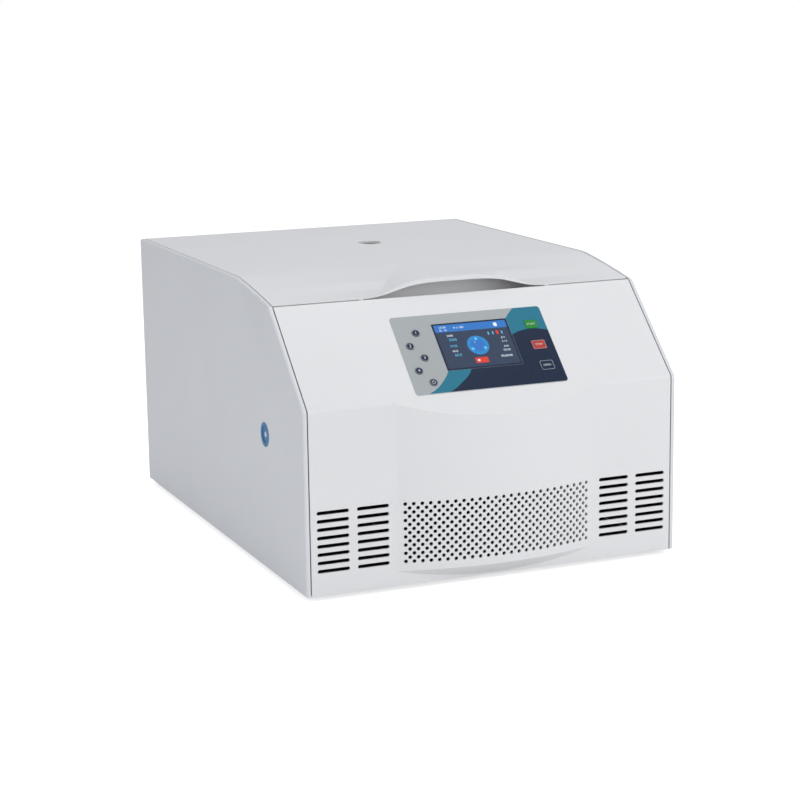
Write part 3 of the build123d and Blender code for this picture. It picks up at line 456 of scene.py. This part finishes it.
# %% [markdown]
# Rolling turns the distance across the flat pattern into an angle round the bulge's axis.
# The patches are then joined at their shared points, and the plate gets its thickness.

# %% Roll the plate
turned = pattern[:, 0] / BULGE_RADIUS
rolled = np.stack(
    [
        BULGE_RADIUS * np.sin(turned),
        BULGE_AXIS_Y - BULGE_RADIUS * np.cos(turned),
        pattern[:, 1],
    ],
    axis=1,
)
grille = make_piece(
    "punched_grille", rolled * MM, np.vstack(flat_faces), moulded_abs, "cabinet"
)
shell = bmesh.new()
shell.from_mesh(grille.data)
bmesh.ops.remove_doubles(shell, verts=shell.verts, dist=1e-6)
bmesh.ops.recalc_face_normals(shell, faces=shell.faces)
if sum(face.normal.y for face in shell.faces) > 0:
    bmesh.ops.reverse_faces(shell, faces=shell.faces)
shell.to_mesh(grille.data)
shell.free()
wall = grille.modifiers.new("wall", "SOLIDIFY")
wall.thickness = PLATE_WALL * MM
wall.offset = -1
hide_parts("intake_grille")
print("grille faces", len(grille.data.polygons))

# %% [markdown]
# ## Print on the control panel
# The film is printed from behind in grey, teal and navy, whose edges sweep in two arcs
# past the screen. Each ink is laid here as a plate a few hundredths of a millimetre thick,
# cut to its outline, so the edges stay crisp at any distance.


# %% Inked plates on the slope
def smooth_line(points, steps=12):
    """A Catmull-Rom curve through the points: each span is a cubic whose end slopes are
    half the difference of the neighbouring points."""
    p = np.asarray(points, float)
    padded = np.vstack([2 * p[0] - p[1], p, 2 * p[-1] - p[-2]])
    a, b, c, d = padded[:-3], padded[1:-2], padded[2:-1], padded[3:]
    t = np.linspace(0, 1, steps, endpoint=False)[None, :, None]
    a, b, c, d = (v[:, None, :] for v in (a, b, c, d))
    square, cube = 2 * a - 5 * b + 4 * c - d, 3 * b - a - 3 * c + d
    curve = 0.5 * (2 * b + (c - a) * t + square * t**2 + cube * t**3)
    return np.vstack([curve.reshape(-1, 2), p[-1:]])


def rounded(centre, size, radius, steps=6):
    """A rectangle with rounded corners: four quarter circles, one round each corner."""
    half = np.array(size) / 2 - radius
    quarter = np.linspace(0, math.pi / 2, steps)
    corners = []
    for number, (x, y) in enumerate(((1, 1), (-1, 1), (-1, -1), (1, -1))):
        angle = quarter + number * math.pi / 2
        arc = np.stack([np.cos(angle), np.sin(angle)], axis=1) * radius
        corners.append(arc + half * (x, y))
    return np.vstack(corners) + centre


def disc(centre, radius, steps=32):
    """A circle of points round a centre."""
    angle = np.linspace(0, 2 * math.pi, steps, endpoint=False)
    return np.stack([np.cos(angle), np.sin(angle)], axis=1) * radius + centre


def ink(name, outline, height, finish, body="cabinet", thick=0.03):
    """A thin plate with the outline, its top at the height over the slope, in millimetres."""
    outline = np.asarray(outline, float)
    following = np.roll(outline, -1, axis=0)
    turn = np.sum(outline[:, 0] * following[:, 1] - outline[:, 1] * following[:, 0])
    outline = outline if turn > 0 else outline[::-1]
    size = len(outline)
    top = on_slope(outline[:, 0], outline[:, 1], height)
    under = on_slope(outline[:, 0], outline[:, 1], height - thick)
    i = np.arange(size)
    sides = np.stack([i, i + size, (i + 1) % size + size, (i + 1) % size], axis=1)
    faces = [i.tolist(), (i[::-1] + size).tolist(), *sides.tolist()]
    return make_piece(name, np.vstack([top, under]), faces, finish, body)


def letters(name, text, centre, size, height, finish, body="cabinet"):
    """Words as a flat mesh: the font's outline, centred and laid on the slope."""
    curve = bpy.data.curves.new(name, "FONT")
    curve.body = text
    curve.size = size
    curve.align_x = "CENTER"
    curve.align_y = "CENTER"
    curve.resolution_u = 3
    holder = bpy.data.objects.new(name, curve)
    bpy.context.scene.collection.objects.link(holder)
    flat = bpy.data.meshes.new_from_object(holder)
    bpy.data.objects.remove(holder)
    place = np.zeros(len(flat.vertices) * 3)
    flat.vertices.foreach_get("co", place)
    place = place.reshape(-1, 3)
    points = on_slope(place[:, 0] + centre[0], place[:, 1] + centre[1], height)
    faces = [list(face.vertices) for face in flat.polygons]
    bpy.data.meshes.remove(flat)
    return make_piece(name, points, faces, finish, body)


# %% [markdown]
# The inks meet along smooth curves. Where they end at the film's corners, they follow its
# rounding, and they stop behind the screen.

# %% Inks of the film
FILM_TOP = 0.6
INK = FILM_TOP + 0.03
LEFT, RIGHT, LOW, HIGH = -99.6, 99.6, 8.2, 121.6
SCREEN_RIGHT, SCREEN_LOW = 50.2, 38.1
FILM_CORNER, CORNER_POINTS = 3.8, 6
film_size = (RIGHT - LEFT, HIGH - LOW)
corner = rounded((0, (LOW + HIGH) / 2), film_size, FILM_CORNER, CORNER_POINTS)
top_right, low_right = corner[:CORNER_POINTS], corner[-CORNER_POINTS:]
teal_top = smooth_line([(64, HIGH), (57.5, 115.5), (SCREEN_RIGHT, 108)])
navy_top = smooth_line([(RIGHT, 85), (88, 88), (75, 88.8), (62, 87), (SCREEN_RIGHT, 82.5)])
ink("teal_ink_upper", np.vstack([teal_top, navy_top[::-1], top_right]), INK, film_teal)
teal_low = smooth_line([(-49.5, SCREEN_LOW), (-55, 30), (-65, 19.7), (-74, 13), (-83.4, LOW)])
navy_low = smooth_line([(-19, SCREEN_LOW), (-26, 29), (-38.2, 19.5), (-47, 13), (-57, LOW)])
ink("teal_ink_lower", np.vstack([teal_low, navy_low[::-1]]), INK, film_teal)
ink("navy_ink_lower", np.vstack([navy_low, low_right, [(RIGHT, SCREEN_LOW)]]), INK, film_navy)
beside_screen = np.vstack([navy_top, [(SCREEN_RIGHT, SCREEN_LOW), (RIGHT, SCREEN_LOW)]])
ink("navy_ink_right", beside_screen, INK, film_navy)
print("film", film_size, "mm in three inks")

# %% [markdown]
# ## Keys
# The five round keys are navy with a pale rim and carry numbers, the last one a power
# sign. The three large ones start, stop and open. Each print rides on its own key, so it
# goes down with it.

# %% Key prints
KEY_TOP = 1.3
KEY_RIM, KEY_FACE, KEY_SIGN = (KEY_TOP + layer for layer in (0.02, 0.04, 0.06))
ROUND_KEYS = {
    "key_1": (-73.0, 96.6),
    "key_2": (-86.0, 78.3),
    "key_3": (-73.0, 59.9),
    "key_4": (-86.0, 42.0),
    "key_power": (-73.0, 23.9),
}
for name, place in ROUND_KEYS.items():
    body = name + "_cap"
    ink(name + "_rim", disc(place, 4.9), KEY_RIM, film_rim, body)
    ink(name + "_face", disc(place, 4.2), KEY_FACE, film_navy, body)
    if name == "key_power":
        angle = np.linspace(math.radians(120), math.radians(420), 30)
        way = np.stack([np.cos(angle), np.sin(angle)], axis=1)
        ring_line = np.vstack([way * 2.4, way[::-1] * 1.8]) + place
        ink("power_ring", ring_line, KEY_SIGN, white_ink, body)
        bar = rounded((place[0], place[1] + 2.0), (0.6, 2.6), 0.2, 3)
        ink("power_bar", bar, KEY_SIGN, white_ink, body)
    else:
        letters(name + "_digit", name[-1], place, 6.2, KEY_SIGN, white_ink, body)
BIG_KEYS = {
    "key_start": ((80.0, 95.3), (15.6, 12.0), "START", film_green, film_green),
    "key_stop": ((80.0, 64.1), (18.0, 13.0), "STOP", film_rim, film_red),
    "key_open": ((80.0, 33.1), (18.0, 14.0), "OPEN", film_rim, film_navy),
}
for name, (place, size, word, rim, face) in BIG_KEYS.items():
    body, slot = name + "_cap", slots[name]
    whole = np.array(size)
    ink(name + "_rim", rounded(place, whole - 0.3, 2.2), KEY_RIM, rim, body)
    ink(name + "_face", rounded(place, whole - 2.0, 1.6), KEY_FACE, face, body)
    letters(name + "_word", word, place, 3.9, KEY_SIGN, white_ink, body)
print("keys", len(ROUND_KEYS) + len(BIG_KEYS))

# %% [markdown]
# ## Screen
# The screen shows a header bar, a round picture of the rotor, a red button below it and
# columns of set and measured values. Only plain numbers are written. The picture is built
# in layers of 0.02 mm, from the dark border up to the figures.

# %% Screen picture
GLASS = 0.6
BORDER, FIELD, BLOCK, MARK, FIGURE = (GLASS + 0.02 * layer for layer in range(1, 6))
SCREEN_CENTRE = (0, 72.95)
ROTOR_CENTRE = (1, 71.5)
ROTOR_RING = 9.5
ink("screen_bezel", rounded(SCREEN_CENTRE, (99.2, 68.5), 1.5), BORDER, film_navy)
ink("screen_field", rounded(SCREEN_CENTRE, (95.0, 64.5), 0.6), FIELD, screen_dark)
header = [(-47.5, 94.5), (47.5, 94.5), (47.5, 105.2), (-47.5, 105.2)]
ink("screen_header", header, BLOCK, screen_blue)
ink("screen_disc", disc(ROTOR_CENTRE, 14.0, 48), BLOCK, screen_disc)
ink("screen_disc_ring", disc(ROTOR_CENTRE, ROTOR_RING, 40), MARK, screen_blue)
for number, angle in enumerate(np.radians([90, 210, 330])):
    spot = ROTOR_CENTRE + ROTOR_RING * np.array([math.cos(angle), math.sin(angle)])
    ink(f"screen_spot_{number}", disc(spot, 2.1, 20), FIGURE, screen_cyan)
ink("screen_button", rounded((-1, 49.5), (17, 8), 1.2), BLOCK, screen_red)
ink("screen_button_mark", disc((-5, 49.5), 1.6, 16), MARK, screen_text)
LINES = [
    ("header_left", "12:30", (-37, 101.4), 4.2, screen_text),
    ("header_date", "01 - 01", (-36.5, 97.2), 3.6, screen_text),
    ("header_middle", "4 x 100", (-16, 99.8), 4.4, screen_text),
    ("left_speed", "2000", (-31, 88.5), 4.2, screen_text),
    ("left_speed_set", "2000", (-29, 82.3), 5.4, screen_cyan),
    ("left_time", "10:00", (-31, 73.0), 4.6, screen_cyan),
    ("left_heat", "60.0", (-31, 65.5), 4.2, screen_text),
    ("left_heat_set", "60.0", (-29, 59.5), 5.4, screen_cyan),
    ("middle_value", "1", (-2, 76.0), 4.2, screen_text),
    ("right_one", "671", (37, 79.5), 3.8, screen_text),
    ("right_two", "9 / 9", (37, 73.8), 3.8, screen_text),
    ("right_three", "60.0", (37, 66.5), 3.8, screen_text),
    ("right_four", "00:00", (36, 61.0), 4.2, screen_text),
    ("right_five", "00:00:00", (33, 52.5), 4.4, screen_text),
]
for name, text, place, size, finish in LINES:
    letters("screen_" + name, text, place, size, FIGURE, finish)
for number, across in enumerate((20, 26, 38)):
    mark = rounded((across, 87.5), (1.6, 4.6), 0.7, 4)
    ink(f"screen_bar_{number}", mark, MARK, screen_cyan)
ink("screen_bar_hot", rounded((32, 88), (3.4, 6.0), 1.5, 4), MARK, screen_red)
ink("screen_lock", rounded((33, 99.8), (4.6, 5.4), 1.2, 4), MARK, screen_text)
print("screen lines", len(LINES))

# %% [markdown]
# The blue plug on the left side has a pale round mark in its dish, and it goes with the plug.

# %% Mark on the release plug
PLUG_BACK, PLUG_UP = 132.7, 169.0
MARK_X, MARK_THICK, MARK_POINTS = -244.1, 0.3, 24
around = disc((FRONT_Y + PLUG_BACK, SKIRT_Z + PLUG_UP), 3.4, MARK_POINTS)
mark_out = np.column_stack([np.full(MARK_POINTS, MARK_X), around])
mark_points = np.vstack([mark_out, mark_out + [MARK_THICK, 0, 0]]) * MM
i = np.arange(MARK_POINTS)
after = (i + 1) % MARK_POINTS
mark_sides = np.column_stack([i, after, after + MARK_POINTS, i + MARK_POINTS])
mark_faces = [i[::-1].tolist(), (i + MARK_POINTS).tolist(), *mark_sides.tolist()]
make_piece("plug_mark", mark_points, mark_faces, white_ink, "plug")
print("plug mark points", len(mark_points))

# %% [markdown]
# ## Small hardware
# Pan head screws hold the rear panel and the fan. A screw head is a profile turned about an
# axis, with a round socket sunk in its middle. A finger guard of plated wire rings covers
# the fan, each ring a bent and welded wire 1.6 mm thick.


# %% Turned and wire pieces
def turned_faces(rows, columns):
    """Quads between neighbouring rings of a surface of revolution."""
    r, c = np.meshgrid(np.arange(rows - 1), np.arange(columns), indexing="ij")
    n = (c + 1) % columns
    low, high = r * columns, (r + 1) * columns
    return np.stack([low + c, low + n, high + n, high + c], -1).reshape(-1, 4).tolist()


def screw_heads(name, places, radius=3.6, height=2.0, columns=20):
    """Screw heads that stand out to the back: a flattened dome of revolution, its radius the
    cosine and its height the sine of an angle, with a round socket sunk in the middle."""
    angle = np.linspace(0, math.pi / 2 * 0.72, 6)
    profile_r = np.concatenate([[radius], radius * np.cos(angle), [1.3, 1.25, 0.02]])
    profile_h = np.concatenate([[-0.2], height * np.sin(angle), [height * 0.91, 0.7, 0.7]])
    around = np.linspace(0, 2 * math.pi, columns, endpoint=False)
    ring_x = profile_r[:, None] * np.cos(around)
    ring_z = profile_r[:, None] * np.sin(around)
    ring_y = np.repeat(profile_h[:, None], columns, axis=1)
    head = np.stack([ring_x, ring_y, ring_z], -1).reshape(-1, 3)
    faces = [face[::-1] for face in turned_faces(len(profile_r), columns)]
    caps = [list(range(columns)), list(range(len(head) - columns, len(head)))[::-1]]
    every = [f for n in range(len(places)) for f in (np.array(faces) + n * len(head)).tolist()]
    every += [[v + n * len(head) for v in cap] for n in range(len(places)) for cap in caps]
    points = np.vstack([head + np.array(place) for place in places])
    return make_piece(name, points * MM, every, zinc_sheet, "cabinet", True)


FAN_X, FAN_Z, FAN_SCREW = -120.0, 68.0, 25.0
rear_screws = [(x, REAR_Y, z) for x in (-226, 0, 226) for z in (18, 160, 298)]
for side in (-1, 1):
    for end in (-1, 1):
        rear_screws.append((FAN_X + side * FAN_SCREW, REAR_Y, FAN_Z + end * FAN_SCREW))
screw_heads("rear_screws", rear_screws)
print("screws", len(rear_screws))


# %% [markdown]
# A torus is one small circle carried round a large one, so a grid of two angles gives all
# its points at once. Both directions close on themselves.


# %% Finger guard
def wire_rings(name, centre, radii, wire, steps=64, sides=8):
    """Wire rings in an upright plane: each a torus, a small circle of the wire's radius
    carried round a large one."""
    a = np.linspace(0, 2 * math.pi, steps, endpoint=False)[:, None]
    b = np.linspace(0, 2 * math.pi, sides, endpoint=False)[None, :]
    points, faces = [], []
    i, j = np.meshgrid(np.arange(steps), np.arange(sides), indexing="ij")
    here, there, next_j = i * sides, (i + 1) % steps * sides, (j + 1) % sides
    quads = np.stack([here + j, here + next_j, there + next_j, there + j], -1).reshape(-1, 4)
    for number, radius in enumerate(radii):
        reach = radius + wire * np.cos(b)
        ring = np.stack([reach * np.cos(a), wire * np.sin(b) + 0 * a, reach * np.sin(a)], -1)
        points.append(ring.reshape(-1, 3) + centre)
        faces.append(quads + number * steps * sides)
    points, faces = np.vstack(points) * MM, np.vstack(faces)
    return make_piece(name, points, faces, drawn_steel, "cabinet", True)


GUARD_OUT = 1.6
GUARD_RADII = (9.0, 15.5, 22.0, 28.5)
WIRE_RADIUS = 0.8
guard_centre = (FAN_X, REAR_Y + GUARD_OUT, FAN_Z)
guard = wire_rings("fan_guard_rings", guard_centre, GUARD_RADII, WIRE_RADIUS)
guard_mesh = bmesh.new()
guard_mesh.from_mesh(guard.data)
bmesh.ops.recalc_face_normals(guard_mesh, faces=guard_mesh.faces)
guard_mesh.to_mesh(guard.data)
guard_mesh.free()
print("guard rings", len(GUARD_RADII))
